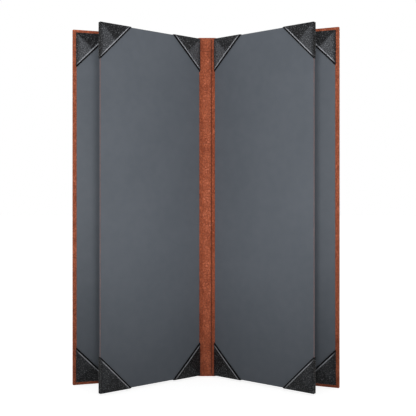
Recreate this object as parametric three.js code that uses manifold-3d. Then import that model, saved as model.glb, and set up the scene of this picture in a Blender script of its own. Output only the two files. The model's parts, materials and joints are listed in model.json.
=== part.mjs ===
// A tall menu cover, standing open on its foot. Two hard covers and a spine share one leatherette case. A
// second sheet of leatherette is glued down the inside of the spine and carries two stiff leaves. Each cover
// has one panel and each leaf has two, and every panel corner has a leather pocket that holds the corner of
// a menu sheet.
//
// Millimetres, +Z up. X = 0 is the middle of the spine, the front cover is on the -X side, and the reader is
// on the -Y side. Every piece of a cover is drawn in that cover's own frame, and every piece of a leaf in
// that leaf's: the origin is on its hinge line, x runs out to the fore-edge, and depth is measured along -Y,
// towards the reader when the cover lies open flat.
import * as THREE from "three";
import { ConvexGeometry } from "three/addons/geometries/ConvexGeometry.js";
import { mergeVertices } from "three/addons/utils/BufferGeometryUtils.js";
import Module from "manifold-3d";

const wasm = await Module();
wasm.setup();

// The menu sheet, and the room that a panel leaves round it
const sheetWidth = 120.7;
const sheetHeight = 355.6;
const sheetSideRoom = 0.3;
const sheetEndRoom = 2.25;

// Thicknesses of the materials
const skin = 0.5; // leatherette of the case, its lining and the inner sheet
const leather = 0.5; // pocket leather
const lip = 0.3; // pocket leather where it is pared thin behind a panel
const hem = 0.4; // pocket leather folded under along the mouth
const glue = 0.1; // glue line between any two pieces
const coverBoard = 2.0;
const spineBoard = 1.5;
const panelBoard = 0.6;

// The case
const coverBorder = 3.95; // brown border at head, tail and fore-edge
const hingeBorder = 4.2; // brown border between a cover board's hinge edge and its panel
const turnIn = 15; // how far the case is turned over the inside of a board
const liningReach = 6; // how far the lining runs on under a cover panel
const jointGap = 7; // free leatherette between the spine board and a cover board
const edgeRound = 1.2; // outer roundness of the wrapped fore-edge
const endRound = 1.0; // outer roundness of the wrapped head and tail
const jointRound = 0.3; // roundness of a joint's leatherette at head and tail
const hingeSlack = 0.3; // air between the two halves of a fold

// The leaves
const leafFoldX = 4.2; // from the middle of the spine to the fold that a leaf turns on
const leafFree = 6.3; // free leatherette between that fold and the panels
const leafReach = 1.2; // how much further a leaf's panels reach at head and foot than a cover's

// The corner pockets
const pocketLeg = 35;
const pocketBulge = 0.4; // how much higher the mouth stands in its middle than at its ends
const pocketChamfer = 0.3;
const hemWidth = 3;
const lipWidth = 7;

// Angles of the standing menu, from lying open flat
const frontCoverAngle = 17;
const backCoverAngle = 22.5;
const firstLeafAngle = 38;
const secondLeafAngle = 38;
const closedRoom = 0.4; // air between a cover pocket and a leaf pocket when the menu is shut

// Widths and heights that follow
const panelWidth = sheetWidth + 2 * sheetSideRoom;
const panelHeight = sheetHeight + 2 * sheetEndRoom;
const coverHeight = panelHeight + 2 * coverBorder;
const boardStart = jointGap / 2;
const panelStart = boardStart + hingeBorder;
const coverWidth = panelStart + panelWidth + coverBorder;
const liningEnd = panelStart + liningReach;
const panelFoot = coverBorder;
const panelHead = coverBorder + panelHeight;
const leafFoot = panelFoot - leafReach;
const leafHead = panelHead + leafReach;

// Depths of the layers, counted from the fold line that the double leatherette of a joint is centred on
const foldHalf = glue / 2 + skin;
const boardBack = glue / 2;
const coverBoardFront = boardBack + coverBoard;
const coverTurnInFront = coverBoardFront + glue + skin;
const coverPanelBack = coverTurnInFront + glue + lip + glue;
const coverPanelFront = coverPanelBack + panelBoard;
const spineBoardFront = boardBack + spineBoard;
const spineLiningFront = spineBoardFront + glue + skin;
const leafFoldDepth = spineLiningFront + glue + skin / 2;
const leafPanelBack = skin / 2 + glue + lip + glue;
const leafHalf = leafPanelBack + panelBoard;

// How far a pocket stands off its panel, and how far out a cover folds so that the menu shuts over them
const pocketRim = glue + hem + leather;
const pocketRise = pocketRim + pocketBulge;
const coverFoldX = leafFoldX + leafHalf + pocketRise + closedRoom + pocketRise + coverPanelFront;
const spineHalf = coverFoldX - boardStart;

const past = 5; // how far a cutter runs past what it cuts

// Colours and finishes
const finishes = {
  leatherette: { color: 0xa15a3f, roughness: 0.55, metalness: 0 },
  greyboard: { color: 0x8c8375, roughness: 0.95, metalness: 0 },
  panel: { color: 0x4a4d52, roughness: 0.5, metalness: 0 },
  pocket: { color: 0x232426, roughness: 0.6, metalness: 0 },
};

// A closed three.js geometry as a solid for booleans
function solidOf(geometry) {
  const bare = geometry.clone();
  bare.deleteAttribute("normal");
  bare.deleteAttribute("uv");
  const merged = mergeVertices(bare, 1e-4);
  const triVerts = merged.index.array;
  return new wasm.Manifold(
    new wasm.Mesh({ numProp: 3, vertProperties: merged.attributes.position.array, triVerts }),
  );
}

function geometryOf(solid) {
  const mesh = solid.getMesh();
  const geometry = new THREE.BufferGeometry();
  geometry.setAttribute("position", new THREE.BufferAttribute(mesh.vertProperties, 3));
  geometry.setIndex(new THREE.BufferAttribute(mesh.triVerts, 1));
  const faceted = geometry.toNonIndexed();
  faceted.computeVertexNormals();
  return faceted;
}

// A block between two values of x, of depth and of height
function block(x, depth, z) {
  const geometry = new THREE.BoxGeometry(x[1] - x[0], depth[1] - depth[0], z[1] - z[0]);
  geometry.translate((x[0] + x[1]) / 2, -(depth[0] + depth[1]) / 2, (z[0] + z[1]) / 2);
  return solidOf(geometry);
}

// A plan outline drawn up from one height to another, with its head and tail edges rounded
function column(outline, z, round) {
  const geometry = new THREE.ExtrudeGeometry(outline, {
    depth: z[1] - z[0] - 2 * round,
    bevelEnabled: round > 0,
    bevelThickness: round,
    bevelSize: round,
    bevelOffset: -round,
    bevelSegments: 4,
    curveSegments: 6,
  });
  geometry.translate(0, 0, z[0] + round);
  return solidOf(geometry);
}

// The plan of a slab whose fore-edge is rounded
function slabPlan(x, depth, round) {
  const plan = new THREE.Shape();
  plan.moveTo(x[0], -depth[0]);
  plan.lineTo(x[0], -depth[1]);
  plan.lineTo(x[1] - round, -depth[1]);
  plan.absarc(x[1] - round, -depth[1] + round, round, -Math.PI / 2, 0, false);
  plan.absarc(x[1] - round, -depth[0] - round, round, 0, Math.PI / 2, false);
  plan.closePath();
  return plan;
}

// The plan of a strip with a round end on each fold line
function stripPlan(foldX, depth) {
  const middle = -(depth[0] + depth[1]) / 2;
  const radius = (depth[1] - depth[0]) / 2;
  const plan = new THREE.Shape();
  plan.absarc(foldX, middle, radius, -Math.PI / 2, Math.PI / 2, false);
  plan.absarc(-foldX, middle, radius, Math.PI / 2, (3 * Math.PI) / 2, false);
  plan.closePath();
  return plan;
}

function piece(name, solid, finish) {
  const material = new THREE.MeshStandardMaterial(finishes[finish]);
  const mesh = new THREE.Mesh(geometryOf(solid), material);
  mesh.name = name;
  return mesh;
}

// The wrap of one cover: leatherette over the outside of the board, turned over its head, tail and fore-edge,
// and running on as a single layer to the fold.
function coverWrap() {
  const full = [0, coverHeight];
  const underLining = [panelFoot - glue, panelHead + glue];
  const start = boardStart - glue - skin;
  const wrapPlan = slabPlan([start - past, coverWidth], [-foldHalf, coverTurnInFront], edgeRound);
  const slab = column(wrapPlan, full, endRound);
  const free = [foldHalf + hingeSlack, boardStart + past];
  const tongue = column(slabPlan(free, [-foldHalf, foldHalf], 1.5 * jointRound), full, jointRound);
  const inner = edgeRound - skin;
  const hollow = column(
    slabPlan([boardStart - glue, coverWidth - skin], [-boardBack, coverBoardFront + glue], inner),
    [skin, coverHeight - skin],
    endRound - skin,
  );
  const window = block(
    [-past, coverWidth - turnIn],
    [coverBoardFront, coverTurnInFront + past],
    [turnIn, coverHeight - turnIn],
  );
  const liningSeat = block([-past, liningEnd + glue], [-boardBack, coverTurnInFront + past], underLining);
  return slab
    .subtract(block([-2 * past, start], [-past, 2 * past], [-past, coverHeight + past]))
    .add(tongue)
    .subtract(hollow)
    .subtract(window)
    .subtract(liningSeat);
}

function coverBoardSolid() {
  const wrapped = skin + glue;
  const x = [boardStart, coverWidth - wrapped];
  const plan = slabPlan(x, [boardBack, coverBoardFront], edgeRound - wrapped);
  return column(plan, [wrapped, coverHeight - wrapped], endRound - wrapped);
}

// The lining of one cover: from the fold, up over the board's hinge edge and on under the panel
function coverLining() {
  const height = [panelFoot, panelHead];
  const wall = boardStart - glue;
  return block([foldHalf + hingeSlack, wall], [boardBack, foldHalf], height)
    .add(block([wall - skin, wall], [boardBack, coverTurnInFront], height))
    .add(block([wall - skin, liningEnd], [coverBoardFront + glue, coverTurnInFront], height));
}

// The whole thickness of the spine: the leatherette strip from fold to fold, and the block round the board
function spineEnvelope(z, round) {
  const strip = column(stripPlan(coverFoldX, [-foldHalf, foldHalf]), z, Math.min(round, jointRound));
  const half = spineHalf + glue + skin;
  const plan = new THREE.Shape();
  plan.moveTo(-half, foldHalf);
  plan.lineTo(-half, -spineLiningFront);
  plan.lineTo(half, -spineLiningFront);
  plan.lineTo(half, foldHalf);
  plan.closePath();
  return strip.add(column(plan, z, round));
}

function spineWrap() {
  const hollow = block(
    [-spineHalf - glue, spineHalf + glue],
    [-boardBack, spineBoardFront + glue],
    [skin, coverHeight - skin],
  );
  const reach = coverFoldX + past;
  const seatHeight = [panelFoot - glue, panelHead + glue];
  const liningSeat = block([-reach, reach], [-boardBack, spineLiningFront + past], seatHeight);
  return spineEnvelope([0, coverHeight], skin).subtract(hollow).subtract(liningSeat);
}

function spineBoardSolid() {
  const height = [skin + glue, coverHeight - skin - glue];
  return block([-spineHalf, spineHalf], [boardBack, spineBoardFront], height);
}

function spineLining() {
  const height = [panelFoot, panelHead];
  const reach = coverFoldX + past;
  const full = [-past, coverHeight + past];
  return spineEnvelope(height, 0)
    .subtract(block([-reach, reach], [-past, boardBack], full))
    .subtract(block([-spineHalf - glue, spineHalf + glue], [-past, spineBoardFront + glue], full));
}

// The inner sheet is glued down the middle of the spine and is the core of both leaves
function innerStrip() {
  const depth = [spineLiningFront + glue, spineLiningFront + glue + skin];
  return column(stripPlan(leafFoldX, depth), [leafFoot, leafHead], 0);
}

function leafCore() {
  const start = skin / 2 + hingeSlack;
  return block([start, leafFree + panelWidth], [-skin / 2, skin / 2], [leafFoot, leafHead]);
}

// A pocket fits over one corner of a panel. In its own frame the corner of the panel's face is the origin, x
// and y run along the panel's two edges, z stands off its face, and the mouth is the plane x + y = pocketLeg.
const pocketSlope = pocketBulge / (pocketLeg / 2 + glue + leather - pocketChamfer);

// The space under two flat facets that rise from the panel's edges to a ridge on the corner's diagonal.
// edge is how far it reaches past the panel's edges, and rim its height there.
function wedge({ edge, rim, reach, chamfer, floor }) {
  const corners = (e) => [
    [-e, -e],
    [reach + e, -e],
    [-e, reach + e],
  ];
  const peak = rim + pocketSlope * (reach / 2 + edge - chamfer);
  return solidOf(
    new ConvexGeometry([
      ...corners(edge).map(([x, y]) => new THREE.Vector3(x, y, floor)),
      ...corners(edge).map(([x, y]) => new THREE.Vector3(x, y, rim - chamfer)),
      ...corners(edge - chamfer).map(([x, y]) => new THREE.Vector3(x, y, rim)),
      new THREE.Vector3(reach / 2, reach / 2, peak),
    ]),
  );
}

// What lies past the line through (near, reach) and (reach, near), down from one height to another
function pastMouth(near, reach, z) {
  const far = 3 * pocketLeg;
  const plan = new THREE.Shape();
  plan.moveTo(near, reach - near);
  plan.lineTo(reach - near, near);
  plan.lineTo(reach - near + far, near);
  plan.lineTo(near, reach - near + far);
  plan.closePath();
  const geometry = new THREE.ExtrudeGeometry(plan, { depth: z[1] - z[0], bevelEnabled: false });
  geometry.translate(0, 0, z[0]);
  return solidOf(geometry);
}

function pocket() {
  const outer = wedge({
    edge: glue + leather,
    rim: pocketRim,
    reach: pocketLeg,
    chamfer: pocketChamfer,
    floor: -panelBoard - glue - lip,
  });
  const under = (drop) =>
    wedge({
      edge: glue,
      rim: pocketRim - leather - drop,
      reach: pocketLeg + past,
      chamfer: 0,
      floor: -panelBoard - glue,
    });
  const hemBand = pastMouth(-past, pocketLeg - hemWidth * Math.SQRT2, [-past, past]).subtract(under(hem));
  const mouth = pastMouth(-past, pocketLeg, [-2 * past, 2 * past]);
  const behind = pastMouth(lipWidth, 2 * lipWidth, [-panelBoard - glue / 2 - past, -panelBoard - glue / 2]);
  return outer.subtract(under(0).subtract(hemBand)).subtract(mouth).subtract(behind);
}

const pocketSolid = pocket();

// Pockets on the four corners of a panel, given its two edges, its foot and head, and its face's depth.
// facing is 1 where that face looks towards the reader and -1 where it looks towards the cover.
function pockets(prefix, x, height, depth, facing) {
  const group = new THREE.Group();
  const edges = { hinge: [x[0], 1], fore: [x[1], -1] };
  const ends = { foot: [height[0], 1], head: [height[1], -1] };
  for (const [edgeName, [edgeX, alongX]] of Object.entries(edges)) {
    for (const [endName, [endZ, alongZ]] of Object.entries(ends)) {
      const mesh = piece(`${prefix}_pocket_${endName}_${edgeName}`, pocketSolid, "pocket");
      mesh.position.set(edgeX, -depth, endZ);
      mesh.rotation.x = Math.PI / 2;
      mesh.scale.set(alongX, alongZ, facing);
      group.add(mesh);
    }
  }
  return group;
}

function cover(prefix) {
  const group = new THREE.Group();
  const x = [panelStart, panelStart + panelWidth];
  const height = [panelFoot, panelHead];
  const panel = block(x, [coverPanelBack, coverPanelFront], height);
  group.add(
    piece(`${prefix}_wrap`, coverWrap(), "leatherette"),
    piece(`${prefix}_board`, coverBoardSolid(), "greyboard"),
    piece(`${prefix}_lining`, coverLining(), "leatherette"),
    piece(`${prefix}_panel`, panel, "panel"),
    pockets(prefix, x, height, coverPanelFront, 1),
  );
  return group;
}

function leaf(prefix) {
  const group = new THREE.Group();
  const x = [leafFree, leafFree + panelWidth];
  const height = [leafFoot, leafHead];
  group.add(
    piece(`${prefix}_core`, leafCore(), "leatherette"),
    piece(`${prefix}_inner_panel`, block(x, [leafPanelBack, leafHalf], height), "panel"),
    piece(`${prefix}_outer_panel`, block(x, [-leafHalf, -leafPanelBack], height), "panel"),
    pockets(`${prefix}_inner`, x, height, leafHalf, 1),
    pockets(`${prefix}_outer`, x, height, -leafHalf, -1),
  );
  return group;
}

// One half of the menu: a cover and the leaf that stands in front of it, each turned on its own fold line
function half(coverPrefix, coverAngle, leafPrefix, leafAngle, side) {
  const group = new THREE.Group();
  const coverGroup = cover(coverPrefix);
  coverGroup.position.set(coverFoldX, 0, 0);
  coverGroup.rotation.z = -THREE.MathUtils.degToRad(coverAngle);
  const leafGroup = leaf(leafPrefix);
  leafGroup.position.set(leafFoldX, -leafFoldDepth, 0);
  leafGroup.rotation.z = -THREE.MathUtils.degToRad(leafAngle);
  group.add(coverGroup, leafGroup);
  group.scale.x = side;
  return group;
}

function spine() {
  const group = new THREE.Group();
  group.add(
    piece("spine_wrap", spineWrap(), "leatherette"),
    piece("spine_board", spineBoardSolid(), "greyboard"),
    piece("spine_lining", spineLining(), "leatherette"),
    piece("inner_sheet_strip", innerStrip(), "leatherette"),
  );
  return group;
}

const menuCover = new THREE.Group();
menuCover.add(
  spine(),
  half("front_cover", frontCoverAngle, "first_leaf", firstLeafAngle, -1),
  half("back_cover", backCoverAngle, "second_leaf", secondLeafAngle, 1),
);
// The origin is the middle of the footprint
const footprint = new THREE.Box3().setFromObject(menuCover, true).getCenter(new THREE.Vector3());
menuCover.position.set(-footprint.x, -footprint.y, 0);

export default menuCover;
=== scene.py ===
# %% [markdown]
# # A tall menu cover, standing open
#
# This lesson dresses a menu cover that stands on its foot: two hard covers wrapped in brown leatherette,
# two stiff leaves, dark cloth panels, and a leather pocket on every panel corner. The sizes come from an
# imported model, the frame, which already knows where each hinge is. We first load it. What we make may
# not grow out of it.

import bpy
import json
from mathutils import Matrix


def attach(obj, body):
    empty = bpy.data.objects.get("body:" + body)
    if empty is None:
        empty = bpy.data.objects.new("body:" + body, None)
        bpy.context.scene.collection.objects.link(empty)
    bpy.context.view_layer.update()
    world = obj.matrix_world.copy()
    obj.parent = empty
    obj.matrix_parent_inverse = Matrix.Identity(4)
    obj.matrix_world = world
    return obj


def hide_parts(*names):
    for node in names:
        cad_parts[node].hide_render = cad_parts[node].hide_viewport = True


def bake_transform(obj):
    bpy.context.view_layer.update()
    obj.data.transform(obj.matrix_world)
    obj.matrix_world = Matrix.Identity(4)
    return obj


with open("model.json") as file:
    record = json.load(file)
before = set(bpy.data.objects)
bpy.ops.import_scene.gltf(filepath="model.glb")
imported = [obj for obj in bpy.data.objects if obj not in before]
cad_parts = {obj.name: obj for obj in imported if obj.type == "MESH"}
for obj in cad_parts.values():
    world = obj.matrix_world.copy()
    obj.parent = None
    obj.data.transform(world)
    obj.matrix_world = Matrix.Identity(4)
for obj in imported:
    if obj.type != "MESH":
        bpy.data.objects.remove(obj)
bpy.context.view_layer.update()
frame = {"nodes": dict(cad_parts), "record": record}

# %% [markdown]
# ## The places that everything hangs from
#
# A cover or leaf is easiest to draw lying straight: x runs out from its hinge, depth runs towards the
# reader and z runs up, all in millimetres. One matrix for each of them then stands it at its own angle.
# The hinges are read from the frame, so nothing has to be measured twice. Drawing each piece straight at
# its final angle would also work, but every number would then hide a sine and a cosine.

# %% Hinges and angles
import json
import math

import bmesh
import bpy
from mathutils import Matrix, Vector

MM = 0.001
hinges = {j["name"]: j for j in frame["record"]["behaviour"]["joints"]}


def stand(body, side, angle):
    """The matrix from (x, depth, z) in millimetres on a straight cover or leaf to its place."""
    a = math.radians(angle)
    p = hinges[body + "_hinge"]["pos_m"]
    return Matrix((
        (side * math.cos(a) * MM, -side * math.sin(a) * MM, 0, p[0]),
        (-math.sin(a) * MM, -math.cos(a) * MM, 0, p[1]),
        (0, 0, MM, 0),
        (0, 0, 0, 1),
    ))


cover_angle = {b: -hinges[b + "_hinge"]["range_deg"][0] for b in ("front_cover", "back_cover")}
places = {
    "front_cover": stand("front_cover", -1, cover_angle["front_cover"]),
    "back_cover": stand("back_cover", 1, cover_angle["back_cover"]),
    "first_leaf": stand("first_leaf", -1, 38.0),
    "second_leaf": stand("second_leaf", 1, 38.0),
}
fold = [hinges[b + "_hinge"]["pos_m"] for b in ("front_cover", "back_cover")]
spine_x = (fold[0][0] + fold[1][0]) / 2
spine_y = fold[0][1]
cover_fold = (fold[1][0] - fold[0][0]) / 2 / MM
leaf_fold = (hinges["second_leaf_hinge"]["pos_m"][0] - spine_x) / MM
leaf_fold_depth = (spine_y - hinges["second_leaf_hinge"]["pos_m"][1]) / MM
places["spine"] = Matrix(((MM, 0, 0, spine_x), (0, -MM, 0, spine_y), (0, 0, MM, 0), (0, 0, 0, 1)))
print("cover angles", cover_angle, "folds at", round(cover_fold, 2), round(leaf_fold, 2))

# %% [markdown]
# ## Sizes
#
# These are the sizes that the pieces share. The panels hold a 14 inch sheet, and the cover shows a narrow
# border all round them.

# %% Shared sizes, in millimetres
# x counts from a body's fold line, and depths from the middle of the leatherette there
HEIGHT = 368.0
COVER_ENDS = (3.95, 364.05)
LEAF_ENDS = (2.75, 365.25)
PANEL = 121.3
PANEL_EDGE_ROUND = 0.22
COVER_PANEL_X = 7.7
COVER_WIDTH = 132.95
LEAF_PANEL_X = 6.3
SKIN = 0.5
COVER_BACK, TURN_IN_FACE, COVER_FACE = -0.55, 2.65, 3.75
LEAF_FACE = 1.35
HALF_JOINT = 3.5
SPINE_HALF = cover_fold - HALF_JOINT
SPINE_FACE = 2.15
print("spine board is", round(2 * SPINE_HALF, 2), "mm wide")

# %% [markdown]
# ## From points to a piece
#
# Every piece goes through one small function. It welds points that lie on each other, stands the mesh in
# its place, turns all faces outwards and smooths what isn't a real edge. A mirrored half would otherwise
# end up inside out, and faces can only be turned once their normals have been worked out.

# %% One function that makes a piece
WELD, SHORTEST_EDGE = 0.004, 0.002


def make_piece(name, points, faces, place, material, nodes=(), body=None, sharp=38):
    """A mesh object from points in millimetres. It rides on body unless that is None."""
    bm = bmesh.new()
    made = [bm.verts.new(p) for p in points]
    for f in faces:
        if len(set(f)) > 2:
            bm.faces.new([made[i] for i in f])
    bmesh.ops.remove_doubles(bm, verts=bm.verts, dist=WELD)
    bmesh.ops.dissolve_degenerate(bm, edges=bm.edges, dist=SHORTEST_EDGE)
    bm.transform(places[place])
    bm.normal_update()
    bmesh.ops.recalc_face_normals(bm, faces=bm.faces)
    mesh = bpy.data.meshes.new(name)
    bm.to_mesh(mesh)
    bm.free()
    mesh.polygons.foreach_set("use_smooth", [True] * len(mesh.polygons))
    mesh.set_sharp_from_angle(angle=math.radians(sharp))
    mesh.materials.append(material)
    piece = bpy.data.objects.new(name, mesh)
    bpy.context.collection.objects.link(piece)
    if body:
        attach(piece, body)
    if nodes:
        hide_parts(*nodes)
    return piece

# %% [markdown]
# ## Shader groups
#
# Leatherette and real leather share one idea, a skin of small pebbles with valleys between them. Written
# once as a node group with its own inputs, the same grain serves both, and each material sets its size. A
# picture of leather would be quicker, but it has one fixed size and needs unwrapped surfaces. A noise in
# object space has neither trouble.

# %% Helpers for node trees
def add(tree, kind, values=(), **settings):
    """A new node with its settings, and with values on its inputs by name or number."""
    node = tree.nodes.new(kind)
    for key, value in settings.items():
        setattr(node, key, value)
    for key, value in dict(values).items():
        if isinstance(value, bpy.types.NodeSocket):
            tree.links.new(value, node.inputs[key])
        else:
            node.inputs[key].default_value = value
    return node


def new_group(name, inputs, outputs):
    tree = bpy.data.node_groups.new(name, "ShaderNodeTree")
    for label, value in inputs.items():
        socket = tree.interface.new_socket(label, in_out="INPUT", socket_type="NodeSocketFloat")
        socket.default_value = value
    for label in outputs:
        tree.interface.new_socket(label, in_out="OUTPUT", socket_type="NodeSocketFloat")
    return tree, tree.nodes.new("NodeGroupInput"), tree.nodes.new("NodeGroupOutput")


def spread(tree, value, low, high, to_low=0.0, to_high=1.0):
    """value stretched from one range to another, held at its ends."""
    return add(tree, "ShaderNodeMapRange", {0: value, 1: low, 2: high, 3: to_low, 4: to_high}).outputs[0]

# %% [markdown]
# The pebbles are the cells of a Voronoi texture. Its distance to the cell's edge is zero in the valleys,
# and a little noise on the coordinates keeps the cells from looking machine cut. Finer noise on top gives
# the pores.

# %% The pebble grain
grain, g_in, g_out = new_group("pebble_grain", {"Pebbles": 1300.0, "Wander": 0.35}, ["Height", "Valley"])
where = add(grain, "ShaderNodeTexCoord").outputs["Object"]
wobble = add(grain, "ShaderNodeTexNoise", {"Vector": where, "Scale": 700.0, "Detail": 2.0})
middle = (0.5, 0.5, 0.5)
shift = add(grain, "ShaderNodeVectorMath", {0: wobble.outputs["Color"], 1: middle}, operation="SUBTRACT")
amount = add(grain, "ShaderNodeMath", {0: g_in.outputs["Wander"], 1: 0.002}, operation="MULTIPLY").outputs[0]
shift = add(grain, "ShaderNodeVectorMath", {0: shift.outputs[0], "Scale": amount}, operation="SCALE")
moved = add(grain, "ShaderNodeVectorMath", {0: where, 1: shift.outputs[0]}, operation="ADD").outputs[0]
cell_size = {"Vector": moved, "Scale": g_in.outputs["Pebbles"]}
cells = add(grain, "ShaderNodeTexVoronoi", cell_size, feature="DISTANCE_TO_EDGE")
dome = spread(grain, cells.outputs["Distance"], 0.0, 0.28)
pores = add(grain, "ShaderNodeTexNoise", {"Vector": where, "Scale": 5200.0, "Detail": 3.0}).outputs[0]
rough_dome = add(grain, "ShaderNodeMath", {0: pores, 1: 0.3, 2: dome}, operation="MULTIPLY_ADD").outputs[0]
grain.links.new(rough_dome, g_out.inputs["Height"])
grain.links.new(spread(grain, cells.outputs["Distance"], 0.0, 0.12, 1.0, 0.0), g_out.inputs["Valley"])
print("grain nodes", len(grain.nodes))

# %% [markdown]
# Nothing that was handled is one flat colour. Slow clouds of two sizes, used by every material here,
# shift the colour and the gloss a little.

# %% The clouds
clouds, c_in, c_out = new_group("slow_clouds", {"Size": 60.0}, ["Cloud"])
where = add(clouds, "ShaderNodeTexCoord").outputs["Object"]
size = c_in.outputs["Size"]
large = add(clouds, "ShaderNodeTexNoise", {"Vector": where, "Scale": size, "Detail": 4.0}).outputs[0]
size = add(clouds, "ShaderNodeMath", {0: size, 1: 5.3}, operation="MULTIPLY").outputs[0]
small = add(clouds, "ShaderNodeTexNoise", {"Vector": where, "Scale": size, "Detail": 3.0}).outputs[0]
both = add(clouds, "ShaderNodeMath", {0: small, 1: 0.9, 2: large}, operation="MULTIPLY_ADD").outputs[0]
clouds.links.new(spread(clouds, both, 0.72, 1.18), c_out.inputs["Cloud"])
print("cloud nodes", len(clouds.nodes))

# %% [markdown]
# ## The materials
#
# Each material starts the same way: a Principled shader, the clouds to mix two colours, and a bump. The
# shader itself stays in the material, so that each one can set its own gloss.

# %% A start for each material
def new_material(name, roughness, specular):
    material = bpy.data.materials.new(name)
    material.use_nodes = True
    tree = material.node_tree
    shader = tree.nodes["Principled BSDF"]
    shader.inputs["Roughness"].default_value = roughness
    shader.inputs["Specular IOR Level"].default_value = specular
    return material, tree, shader


def use_group(tree, group, **values):
    node = tree.nodes.new("ShaderNodeGroup")
    node.node_tree = group
    for key, value in values.items():
        node.inputs[key].default_value = value
    return node


def mix(tree, mask, low, high):
    """A colour between low and high by a mask."""
    return add(tree, "ShaderNodeMix", {0: mask, 6: low, 7: high}, data_type="RGBA").outputs[2]


def marked(tree, label):
    """The value from 0 to 1 that a mesh stores on its points under that label."""
    return add(tree, "ShaderNodeAttribute", attribute_name=label).outputs["Fac"]


def bump(tree, shader, height, depth, under=None):
    """Relief of that depth in millimetres, on top of other relief."""
    node = add(tree, "ShaderNodeBump", {"Height": height, "Distance": depth * MM, "Strength": 1.0})
    if under:
        tree.links.new(under, node.inputs["Normal"])
    tree.links.new(node.outputs[0], shader.inputs["Normal"])
    return node.outputs[0]

# %% [markdown]
# Leatherette for covers is a thin brown skin with pulled-up lights and darker valleys. The clouds move it
# between three browns. A painted shade darkens it along seams, pressed grooves and the step over a
# turned-in end, and an attribute marks that on the meshes that have such a seam.

# %% Brown leatherette
leatherette, tree, shader = new_material("brown_leatherette", 0.5, 0.26)
cloud = use_group(tree, clouds, Size=75.0)
pebbles = use_group(tree, grain, Pebbles=380.0, Wander=2.0)
brown = mix(tree, cloud.outputs["Cloud"], (0.31, 0.068, 0.026, 1), (0.50, 0.128, 0.055, 1))
brown = mix(tree, spread(tree, pebbles.outputs["Valley"], 0, 1, 0, 0.75), brown, (0.11, 0.021, 0.008, 1))
# Painted shade: seams, pressed grooves and the step over a turned-in end are made darker brown
brown = mix(tree, marked(tree, "painted_seam_shade"), brown, (0.050, 0.012, 0.006, 1))
tree.links.new(brown, shader.inputs["Base Color"])
tree.links.new(spread(tree, cloud.outputs["Cloud"], 0, 1, 0.58, 0.42), shader.inputs["Roughness"])
bump(tree, shader, pebbles.outputs["Height"], 0.4)

# %% [markdown]
# The pockets are real leather, dyed black, with a coarser grain whose tops are painted grey as a
# highlight. Four attributes on their meshes tell the material where it is: ridge says how high the leather
# rises between the two facets over a corner, and the other three mark the facet that is painted lighter as
# if lit, the painted highlight along the fold at the mouth, and the painted shadow beside it.

# %% Black pocket leather
pocket_leather, tree, shader = new_material("black_pocket_leather", 0.4, 0.15)
cloud = use_group(tree, clouds, Size=110.0)
pebbles = use_group(tree, grain, Pebbles=560.0, Wander=1.0)
black = mix(tree, cloud.outputs["Cloud"], (0.003, 0.0032, 0.0036, 1), (0.010, 0.0105, 0.0118, 1))
# Painted light: one facet of each pocket is made lighter, as if lit
black = mix(tree, marked(tree, "painted_facet_light"), black, (0.145, 0.152, 0.165, 1))
# Painted highlight: the grain's tops are made grey, as if they caught the light
black = mix(tree, spread(tree, pebbles.outputs["Height"], 0.95, 1.25), black, (0.125, 0.129, 0.137, 1))
black = mix(tree, spread(tree, pebbles.outputs["Valley"], 0, 1, 0, 0.8), black, (0.002, 0.002, 0.0024, 1))
# Painted highlight: a near-white line along the fold at the mouth
black = mix(tree, marked(tree, "painted_fold_highlight"), black, (0.70, 0.72, 0.77, 1))
# Painted shadow: the band beside the mouth is made black, and the same mask makes it matt
painted_mouth_shadow = marked(tree, "painted_mouth_shadow")
black = mix(tree, painted_mouth_shadow, black, (0.002, 0.002, 0.002, 1))
tree.links.new(black, shader.inputs["Base Color"])
polish = spread(tree, pebbles.outputs["Valley"], 0, 1, 0.33, 0.75)
matt = add(tree, "ShaderNodeMath", {0: painted_mouth_shadow, 1: 0.5, 2: polish}, operation="MULTIPLY_ADD", use_clamp=True)
tree.links.new(matt.outputs[0], shader.inputs["Roughness"])
facets = bump(tree, shader, marked(tree, "ridge"), 7.0)
bump(tree, shader, pebbles.outputs["Height"], 0.7, facets)

# %% [markdown]
# The panels are card covered with a dark satin book cloth. Its threads are about a quarter of a
# millimetre apart: two waves at right angles, one for the warp and one for the weft, make them. The long
# warp threads lie on top, so satin shines more along one way.

# %% Charcoal satin
satin, tree, shader = new_material("charcoal_satin", 0.5, 0.1)
where = add(tree, "ShaderNodeTexCoord").outputs["Object"]
threads = {"Vector": where, "Scale": 640.0, "Distortion": 0.6}
warp = add(tree, "ShaderNodeTexWave", threads, bands_direction="X").outputs["Fac"]
weft = add(tree, "ShaderNodeTexWave", threads, bands_direction="Z").outputs["Fac"]
cloth = add(tree, "ShaderNodeMath", {0: warp, 1: 2.0, 2: weft}, operation="MULTIPLY_ADD")
cloud = use_group(tree, clouds, Size=22.0)
grey = mix(tree, cloud.outputs["Cloud"], (0.098, 0.110, 0.127, 1), (0.108, 0.120, 0.138, 1))
grey = mix(tree, spread(tree, cloth.outputs[0], 0, 3, 0.0, 0.12), grey, (0.15, 0.165, 0.185, 1))
tree.links.new(grey, shader.inputs["Base Color"])
bump(tree, shader, cloth.outputs[0], 0.006)

# %% [markdown]
# The boards inside the covers are never seen unless the menu is cut open, but they still get a fibrous
# grey card.

# %% Grey board
greyboard, tree, shader = new_material("grey_board", 0.9, 0.2)
cloud = use_group(tree, clouds, Size=900.0)
fibre = mix(tree, cloud.outputs["Cloud"], (0.22, 0.20, 0.17, 1), (0.33, 0.30, 0.26, 1))
tree.links.new(fibre, shader.inputs["Base Color"])
bump(tree, shader, cloud.outputs["Cloud"], 0.05)
for name in ("front_cover_board", "back_cover_board", "spine_board"):
    board = frame["nodes"][name]
    board.data.materials.clear()
    board.data.materials.append(greyboard)

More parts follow.
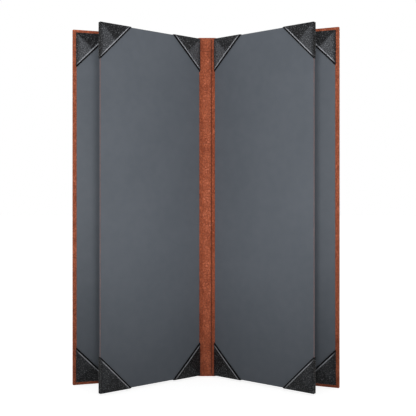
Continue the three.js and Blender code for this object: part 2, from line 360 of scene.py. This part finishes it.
# %% [markdown]
# ## Boards wrapped in leatherette
#
# A wrapped board is a flat slab whose edges are rounded by the skin that is pulled over them. One way to
# make it is a box with a Bevel modifier. Here the rounding is drawn into the plan and into the height,
# which lets the corner between fore-edge and head stay soft in both directions, as folded leatherette
# does.

# %% A slab with soft edges
def slab(x, depth, z, soft, steps=4):
    """Points and faces of a box whose edges are rounded to the radius soft."""
    bm = bmesh.new()
    bmesh.ops.create_cube(bm, size=1.0)
    for v in bm.verts:
        v.co = Vector((x[v.co.x > 0], depth[v.co.y > 0], z[v.co.z > 0]))
    bmesh.ops.bevel(
        bm, geom=bm.edges, offset=soft, offset_type="OFFSET", segments=steps, profile=0.5, affect="EDGES"
    )
    bm.verts.index_update()
    points = [v.co.copy() for v in bm.verts]
    faces = [[v.index for v in f.verts] for f in bm.faces]
    bm.free()
    return points, faces

# %% [markdown]
# The covers come first. The border that shows round each panel is this wrap, and the panel hides where
# the skin's turned-in edges end.

# %% The wrapped covers
BOARD_START, COVER_ROUND = 2.9, 1.05
for body in ("front_cover", "back_cover"):
    points, faces = slab((BOARD_START, COVER_WIDTH), (COVER_BACK, TURN_IN_FACE), (0, HEIGHT), COVER_ROUND, 5)
    make_piece(
        body + "_leather", points, faces, body, leatherette,
        [body + "_wrap", body + "_lining"], body,
    )
print("covers are", COVER_WIDTH, "by", HEIGHT, "mm")

# %% [markdown]
# The spine is a narrower slab of the same kind. The skin's ends are turned in under its lining, 15 mm at
# head and tail, and that hidden edge shows as a faint step. Rows of points across the slab are lifted
# there by a tenth of a millimetre.

# %% The wrapped spine
TURN_IN, TURN_IN_LIFT = 15.0, 0.16
SPINE_ROUND = 0.5


def clamp(value):
    return max(0.0, min(1.0, value))


def turned_in(z):
    """How far the turned-in end under the lining lifts what lies on it."""
    near_end = min(z, HEIGHT - z)
    return TURN_IN_LIFT * clamp((TURN_IN + 0.4 - near_end) / 0.8)


def rows(points_at, heights):
    """Points and quads of a closed outline that is repeated at each height, with both ends filled."""
    outline = points_at(heights[0])
    n = len(outline)
    points = [p for h in heights for p in points_at(h)]
    faces = [list(range(n)), [(len(heights) - 1) * n + i for i in range(n)][::-1]]
    for r in range(len(heights) - 1):
        for i in range(n):
            k = (i + 1) % n
            faces.append([r * n + i, (r + 1) * n + i, (r + 1) * n + k, r * n + k])
    return points, faces


def rounded_plan(x, depth, soft, steps=4):
    plan = []
    for cx, cd, start in (
        (x[1] - soft, depth[1] - soft, 0), (x[0] + soft, depth[1] - soft, 90),
        (x[0] + soft, depth[0] + soft, 180), (x[1] - soft, depth[0] + soft, 270),
    ):
        for s in range(steps + 1):
            a = math.radians(start + 90 * s / steps)
            plan.append((cx + soft * math.cos(a), cd + soft * math.sin(a)))
    return plan


def spine_outline(z):
    inset = max(0.0, SPINE_ROUND - min(z, HEIGHT - z)) * 0.9
    half = SPINE_HALF + 0.6 - inset
    plan = rounded_plan((-half, half), (COVER_BACK + inset, SPINE_FACE - inset), SPINE_ROUND)
    return [(x, d, z) for x, d in plan]


heights = [0, 0.1, 0.25, 0.5, 14.6, 15.4, 184]
heights += [HEIGHT - h for h in reversed(heights[:-1])]
points, faces = rows(spine_outline, heights)
lining = SPINE_FACE - 0.65
points = [(x, d + (turned_in(z) if d > lining else 0), z) for x, d, z in points]
make_piece(
    "spine_leather", points, faces, "spine", leatherette,
    ["spine_wrap", "spine_lining"], "spine",
)
print("spine rows", len(heights))

# %% [markdown]
# ## The joints
#
# Between spine and cover the leatherette is free of board, and pressed into a shallow groove. This is the
# strip that bends when the menu is shut. Its shape is drawn between two frames: points near the spine lie
# in the spine's, points near the board in the cover's, and those between turn part of the way. It needs
# enough points across its width to bend smoothly. A painted shade darkens the pressed line down its
# middle, which an attribute on its points says.

# %% The grooved joints
JOINT_START, JOINT_END = cover_fold - 3.6, cover_fold + HALF_JOINT
GROOVE = 0.45
PAINTED_GROOVE_SHADE = 0.4


def joint_outline(side, z):
    outer, inner = [], []
    board = places["front_cover" if side < 0 else "back_cover"]
    spine = places["spine"].inverted() @ board
    for i in range(15):
        t = i / 14
        turn = t * t * (3 - 2 * t)
        flat = JOINT_START + t * (JOINT_END - JOINT_START)
        groove = math.sin(math.pi * t) ** 2
        for layer, depth in ((outer, -0.5 + GROOVE * groove), (inner, 0.5 - 0.05 * groove)):
            on_spine = Vector((side * flat, depth, z))
            on_cover = spine @ Vector((flat - cover_fold, depth, z))
            layer.append(tuple(on_spine.lerp(on_cover, turn)))
    return outer + inner[::-1]


joint_heights = [0, 0.15, 0.4, 92, 184, 276, HEIGHT - 0.4, HEIGHT - 0.15, HEIGHT]
for side, body in ((-1, "front_cover"), (1, "back_cover")):
    points, faces = rows(lambda z: joint_outline(side, z), joint_heights)
    joint = make_piece(body + "_joint_leather", points, faces, "spine", leatherette)
    # Painted shade: how dark the pressed line down the joint's middle is drawn
    painted_seam_shade = joint.data.attributes.new("painted_seam_shade", "FLOAT", "POINT")
    for i, v in enumerate(joint.data.vertices):
        across = clamp((abs(v.co.x - spine_x) / MM - JOINT_START) / (JOINT_END - JOINT_START))
        painted_seam_shade.data[i].value = PAINTED_GROOVE_SHADE * math.sin(math.pi * across) ** 2
    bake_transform(joint)
print("joint rows", len(joint_heights))

# %% [markdown]
# ## The sheets that carry the leaves
#
# Each leaf has a core of leatherette that runs on past its panels as a hinge tab. The first leaf's sheet
# is glued over the middle of the spine, and its cut edge shows as a seam, with a painted shade along it,
# beside the second leaf's fold.
# Each sheet is one piece, rounded where it folds.

# %% A folded sheet
BEND = 1.6  # how far from the fold line the sheet starts to bend


def sheet_outline(body, side, start, z):
    """The plan of one sheet: along the spine from start, round the fold, and out through the leaf."""
    leaf = places["spine"].inverted() @ places[body]
    bend_start = side * (leaf_fold - BEND)
    straight = [start + (bend_start - start) * t for t in (0, 0.03, 0.06, 0.12, 0.18, 0.5, 1)]
    middle = [Vector((x, leaf_fold_depth, z)) for x in straight]
    corner = Vector((side * leaf_fold, leaf_fold_depth, z))
    a, b = Vector(middle[-1]), leaf @ Vector((BEND, 0, z))
    for t in (0.15, 0.3, 0.45, 0.6, 0.75, 0.9, 1):
        middle.append(a.lerp(corner, t).lerp(corner.lerp(b, t), t))
    fore_edge = LEAF_PANEL_X + PANEL
    for x in (3.0, 4.6, 6.2, 20, 60, 110, fore_edge - 0.15, fore_edge - 0.1):
        middle.append(leaf @ Vector((x, 0, z)))
    up, down = [], []
    for i, p in enumerate(middle):
        along = (middle[min(i + 1, len(middle) - 1)] - middle[max(i - 1, 0)]).normalized()
        out = Vector((-along.y, along.x, 0)) * (SKIN / 2)
        up.append(tuple(p + out))
        down.append(tuple(p - out))
    return up + down[::-1]


SEAM = 4.55  # where the first leaf's sheet ends, from the middle of the spine
sheet_heights = [LEAF_ENDS[0], LEAF_ENDS[0] + 0.1, 14.2, 14.6, 15.0, 15.4, 15.8, 100, 184]
sheet_heights += [HEIGHT - h for h in reversed(sheet_heights[:-1])]
for body, side, start, nodes in (
    ("first_leaf", -1, 4.45, ["first_leaf_core", "inner_sheet_strip"]),
    ("second_leaf", 1, 2.2, ["second_leaf_core"]),
):
    points, faces = rows(lambda z: sheet_outline(body, side, start, z), sheet_heights)
    if body == "second_leaf":
        points = [(x, d - 0.3 if x < leaf_fold + 0.25 else d, z) for x, d, z in points]
    points = [(x, d + (turned_in(z) if abs(x) < leaf_fold + 0.3 else 0), z) for x, d, z in points]
    tab = make_piece(body + "_sheet", points, faces, "spine", leatherette, nodes)
    # Painted shade: how dark the seam at the first sheet's cut edge and the turned-in step are drawn
    painted_seam_shade = tab.data.attributes.new("painted_seam_shade", "FLOAT", "POINT")
    for i, v in enumerate(tab.data.vertices):
        off, near_end = (v.co.x - spine_x) / MM - SEAM, min(v.co.z / MM, HEIGHT - v.co.z / MM)
        seam, step = math.exp(-((off / 0.55) ** 2)), math.exp(-(((near_end - TURN_IN) / 0.4) ** 2))
        painted_seam_shade.data[i].value = max(seam, PAINTED_GROOVE_SHADE * step)
    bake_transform(tab)
print("sheets fold at", round(leaf_fold, 2), "mm")

# %% [markdown]
# ## The panels
#
# A panel is thin card in cloth, with barely softened edges. On a cover it sits on the turned-in
# leatherette, and on a leaf there is one on each side of the core.

# %% Cloth panels
cover_layers = {"panel": (TURN_IN_FACE + 0.03, COVER_FACE)}
leaf_layers = {"inner_panel": (0.27, LEAF_FACE), "outer_panel": (-LEAF_FACE, -0.27)}
for body, x, ends, layers in (
    ("front_cover", COVER_PANEL_X, COVER_ENDS, cover_layers),
    ("back_cover", COVER_PANEL_X, COVER_ENDS, cover_layers),
    ("first_leaf", LEAF_PANEL_X, LEAF_ENDS, leaf_layers),
    ("second_leaf", LEAF_PANEL_X, LEAF_ENDS, leaf_layers),
):
    for layer, depth in layers.items():
        points, faces = slab((x, x + PANEL), depth, ends, PANEL_EDGE_ROUND, 3)
        node = f"{body}_{layer}"
        make_piece(node + "_cloth", points, faces, body, satin, [node], body)
print("leaf panels are", PANEL, "by", LEAF_ENDS[1] - LEAF_ENDS[0], "mm")

# %% [markdown]
# ## The corner pockets
#
# A pocket is a triangle of leather whose long side is hemmed, wrapped over a panel corner. Its mesh is a
# grid. One direction of it follows the leather over an edge, across the face and over the other edge. The
# other goes from the tip to the mouth, round the hem and back inside. At the tip all points of a row fall
# together, and welding closes the leather there. A flat triangle with a Solidify modifier would be
# simpler, but it has no hem, and the hem's rounded fold, with a highlight painted along it, is what makes
# these corners look sewn.

# %% One pocket in its own frame
LEG = 35.0  # from the tip to the mouth along the panel's edge
REACH = 0.6  # how far the leather stands past the panel's edge
LEATHER = 0.5
FACE_RISE = 1.0  # how high the leather stands over the panel's face beside its edge
RIDGE_RISE, SWELL = 0.34, 0.06
BACK, LIP = -1.0, 1.2  # how deep the leather goes behind the panel's face, and how far it turns in there
SOFT_EDGE = 0.15
HALF_LEG = LEG / 2 + REACH
ACROSS = [0, 0.04, 0.15, 0.3, 0.5, 1, 2, 3.5, 5.5, 8, 11, 14, 16.5, HALF_LEG]
# Each row's place between tip and mouth, and its depth under the leather's face: the face, the fold that
# carries the painted highlight, the rounded mouth, and the inside with its hem
TIP_TO_MOUTH = [(c, 0) for c in (-1.2, -0.4, 1, 3, 6, 10, 15, 20, 25, 29, 30.6)]
TIP_TO_MOUTH += [(31.1, -0.05), (31.6, -0.13), (32.1, -0.17), (32.6, -0.12), (33.0, 0.02)]
TIP_TO_MOUTH += [(33.6, 0.13), (34.3, 0.2), (34.7, 0.3), (34.92, 0.45), (35, 0.66), (34.93, 0.8)]
TIP_TO_MOUTH += [(34.75, 0.88)] + [(c, 0.9) for c in (34.5, 32.5, 30.8)]
TIP_TO_MOUTH += [(c, LEATHER) for c in (30.74, 22, 10, 3, -0.2)]


def pocket_height(x, y):
    """How high the leather stands over a point of the panel's face."""
    ridge = max(0.0, min(x, y) + REACH) / HALF_LEG
    swell = SWELL * math.sin(math.pi * min(1.0, (x + y) / LEG)) if x + y > 0 else 0
    return FACE_RISE + RIDGE_RISE * ridge ** 0.85 + swell


def pocket_row(c, t):
    """One row of the grid. It crosses the panel's edges at c, and lies t under the leather's face."""
    wall = max(0, min(t, LEATHER))
    reach = REACH - wall
    soft = max(LEATHER - wall, 0.03)
    half = (c + 2 * reach) / 2
    back = BACK + 0.6 * wall
    y = c + reach
    side = [(min(LIP, y), y, back), (min(-reach + SOFT_EDGE, y), y, back), (-reach, y, back + SOFT_EDGE)]
    for share in ACROSS:
        d = share * half / HALF_LEG
        drop = soft * (1 - math.sqrt(max(0.0, 1 - (1 - min(d, soft) / soft) ** 2)))
        side.append((d - reach, y - d, pocket_height(d - reach, y - d) - t - drop))
    return side + [(y, x, z) for x, y, z in reversed(side[:-1])]


grid = [pocket_row(c, t) for c, t in TIP_TO_MOUTH]
width = len(grid[0])
pocket_points = [p for row in grid for p in row]
pocket_faces = []
for r in range(len(grid) - 1):
    for i in range(width - 1):
        a = r * width + i
        pocket_faces.append([a, a + 1, a + width + 1, a + width])
pocket_faces.append([r * width for r in range(1, len(grid))])
pocket_faces.append([r * width + width - 1 for r in reversed(range(1, len(grid)))])
print("one pocket has", len(pocket_faces), "faces")

# %% [markdown]
# The same pocket goes on all four corners of each panel, mirrored as needed. After it is placed, four
# values are stored on its points for the material to read. A highlight is painted along the fold at the
# mouth, but not at its two ends, and the facet beside the panel's upright edge is painted lighter as if
# lit, most of all at the head.
# Welding has changed the order of the points, so each one works its values out from where it stands.

# %% Pockets on every corner
PAINTED_HIGHLIGHT_LINE, PAINTED_SHADOW_START = 32.1, 32.9  # where the painted highlight along the fold runs, and where the painted shadow beside it starts
# The least and the most painted light on a pocket's two facets, by its place
PAINTED_FACET_LIGHT_BY_PLACE = {
    ("head", "hinge"): (0.14, 1.0), ("head", "fore"): (0.1, 0.7),
    ("foot", "hinge"): (0.0, 0.0), ("foot", "fore"): (0.14, 0.35),
}


def pockets_on(body, layer, x0, ends, face, facing):
    """Pockets for one panel: x0 is its hinge edge, face its depth, and facing 1 towards the reader or -1."""
    back_to_flat = places[body].inverted()
    for edge, corner_x, along_x in (("hinge", x0, 1), ("fore", x0 + PANEL, -1)):
        for end, corner_z, along_z in (("foot", ends[0], 1), ("head", ends[1], -1)):
            name = f"{body}_{layer}pocket_{end}_{edge}"
            points = [
                (corner_x + along_x * x, face + facing * z, corner_z + along_z * y)
                for x, y, z in pocket_points
            ]
            least, most = PAINTED_FACET_LIGHT_BY_PLACE[end, edge]
            if not layer and end == "head":
                most = 1.0  # a cover's head pockets get the most painted light
            pocket = make_piece(
                name + "_leather", points, pocket_faces, body, pocket_leather,
                [name], body, sharp=50,
            )
            ridge, painted_fold_highlight, painted_mouth_shadow, painted_facet_light = (
                pocket.data.attributes.new(label, "FLOAT", "POINT")
                for label in ("ridge", "painted_fold_highlight", "painted_mouth_shadow", "painted_facet_light")
            )
            for i, v in enumerate(pocket.data.vertices):
                p = back_to_flat @ v.co
                x, y = along_x * (p.x - corner_x), along_z * (p.z - corner_z)
                inside = max(0.0, min(x, y) + REACH)
                ridge.data[i].value = inside / HALF_LEG
                on_face = facing * (p.y - face) > 0.9
                # Painted highlight along the fold near the mouth
                near_fold = math.exp(-(((x + y - PAINTED_HIGHLIGHT_LINE) / 0.45) ** 2))
                painted_fold_highlight.data[i].value = on_face * near_fold * min(1, inside / 3.5)
                # Painted shadow beside the mouth
                painted_mouth_shadow.data[i].value = clamp((x + y - PAINTED_SHADOW_START) / 0.5)
                # Painted light on the facet beside the upright edge
                side = clamp(0.5 + (y - x) / 1.2) * min(1, inside / 4)
                painted_facet_light.data[i].value = on_face * (least + (most - least) * side)


for body in ("front_cover", "back_cover"):
    pockets_on(body, "", COVER_PANEL_X, COVER_ENDS, COVER_FACE, 1)
for body in ("first_leaf", "second_leaf"):
    pockets_on(body, "inner_", LEAF_PANEL_X, LEAF_ENDS, LEAF_FACE, 1)
    pockets_on(body, "outer_", LEAF_PANEL_X, LEAF_ENDS, -LEAF_FACE, -1)

# %% [markdown]
# ## Floor and background
#
# The menu stands on a plain pale floor in front of white. A floor that is lit to pure white would also
# flood the object with light from below. Instead the floor adds a little white only for rays that come
# from the camera or a reflection, which Light Path tells apart, and it still takes the object's shadow.

# %% The floor
FLOOR_GLOW, SKY_LIGHT = 0.85, 0.42
mesh = bpy.data.meshes.new("floor")
edge = 8.0
mesh.from_pydata([(-edge, -edge, 0), (edge, -edge, 0), (edge, edge, 0), (-edge, edge, 0)], [], [(0, 1, 2, 3)])
floor = bpy.data.objects.new("floor", mesh)
bpy.context.collection.objects.link(floor)


def seen_rays(tree):
    """1 for rays from the camera, and for those that a reflection or a clear material sends on."""
    seen = 0.0
    for kind in ("Is Camera Ray", "Is Glossy Ray", "Is Transmission Ray"):
        ray = add(tree, "ShaderNodeLightPath").outputs[kind]
        seen = add(tree, "ShaderNodeMath", {0: seen, 1: ray}, operation="MAXIMUM").outputs[0]
    return seen


floor_white, tree, shader = new_material("pale_floor", 1.0, 0.0)
shader.inputs["Base Color"].default_value = (0.55, 0.55, 0.55, 1)
shader.inputs["Emission Color"].default_value = (1, 1, 1, 1)
glow = add(tree, "ShaderNodeMath", {0: seen_rays(tree), 1: FLOOR_GLOW}, operation="MULTIPLY").outputs[0]
tree.links.new(glow, shader.inputs["Emission Strength"])
mesh.materials.append(floor_white)

world = bpy.data.worlds.new("studio")
bpy.context.scene.world = world
world.use_nodes = True
tree = world.node_tree
background = tree.nodes["Background"]
background.inputs["Color"].default_value = (1, 1, 1, 1)
tree.links.new(spread(tree, seen_rays(tree), 0, 1, SKY_LIGHT, 1.0), background.inputs["Strength"])

# %% [markdown]
# ## Light
#
# Two soft spots in front, at the menu's own height, light both halves of the V. Their cones are aimed at
# its upper part and fade out above the foot, so the foot is darker. Two weaker ones stand far to the
# sides, where they reach the leather facets that face outwards, and two behind light the covers'
# outsides. Area lamps would be softer still, but they can't keep their light off the foot.

# %% The lamps
def studio_spot(name, at, aim, watts, cone, blend):
    light = bpy.data.lights.new(name, "SPOT")
    light.shadow_soft_size = 0.12
    light.energy = watts
    light.spot_size = math.radians(cone)
    light.spot_blend = blend
    lamp = bpy.data.objects.new(name, light)
    bpy.context.collection.objects.link(lamp)
    lamp.location = at
    lamp.rotation_euler = (Vector(aim) - Vector(at)).to_track_quat("-Z", "Y").to_euler()


for place, (x, y, z), (aim_x, aim_z), watts, cone, blend in (
    ("", (0.24, -1.34, 0.28), (-0.03, 0.33), 26, 28, 0.36),
    ("far_", (1.08, -0.9, 0.24), (-0.03, 0.33), 6, 31, 0.42),
    ("back_", (0.7, 1.4, 0.9), (0.0, 0.2), 20, 60, 1.0),
):
    for side, way in (("left", -1), ("right", 1)):
        studio_spot(f"{place}{side}_spot", (way * x, y, z), (way * aim_x, 0.0, aim_z), watts, cone, blend)

# %% [markdown]
# ## Camera
#
# The camera stands straight in front of the spine, four fifths of a metre away, level, and a little above
# the middle of its height. Its small shift only frames the menu as the picture does.

# %% The camera
IMAGE = 416  # the picture's side, in pixels
FOCAL_LENGTH, CENTRE = 726.2, (207.1, 200.7)  # in the same pixels
DISTANCE, EYE_HEIGHT = 0.7916, 0.1909
data = bpy.data.cameras.new("camera")
data.sensor_fit = "HORIZONTAL"
data.sensor_width = 36.0
data.lens = FOCAL_LENGTH / IMAGE * data.sensor_width
data.shift_x = (IMAGE / 2 - CENTRE[0]) / IMAGE
data.shift_y = (CENTRE[1] - IMAGE / 2) / IMAGE
data.clip_start = 0.01
camera = bpy.data.objects.new("camera", data)
bpy.context.collection.objects.link(camera)
camera.location = (spine_x, spine_y - DISTANCE, EYE_HEIGHT)
camera.rotation_euler = (math.radians(90), 0, 0)
bpy.context.scene.camera = camera
bpy.context.scene.view_settings.view_transform = "Standard"
print("lens", round(data.lens, 2), "mm")
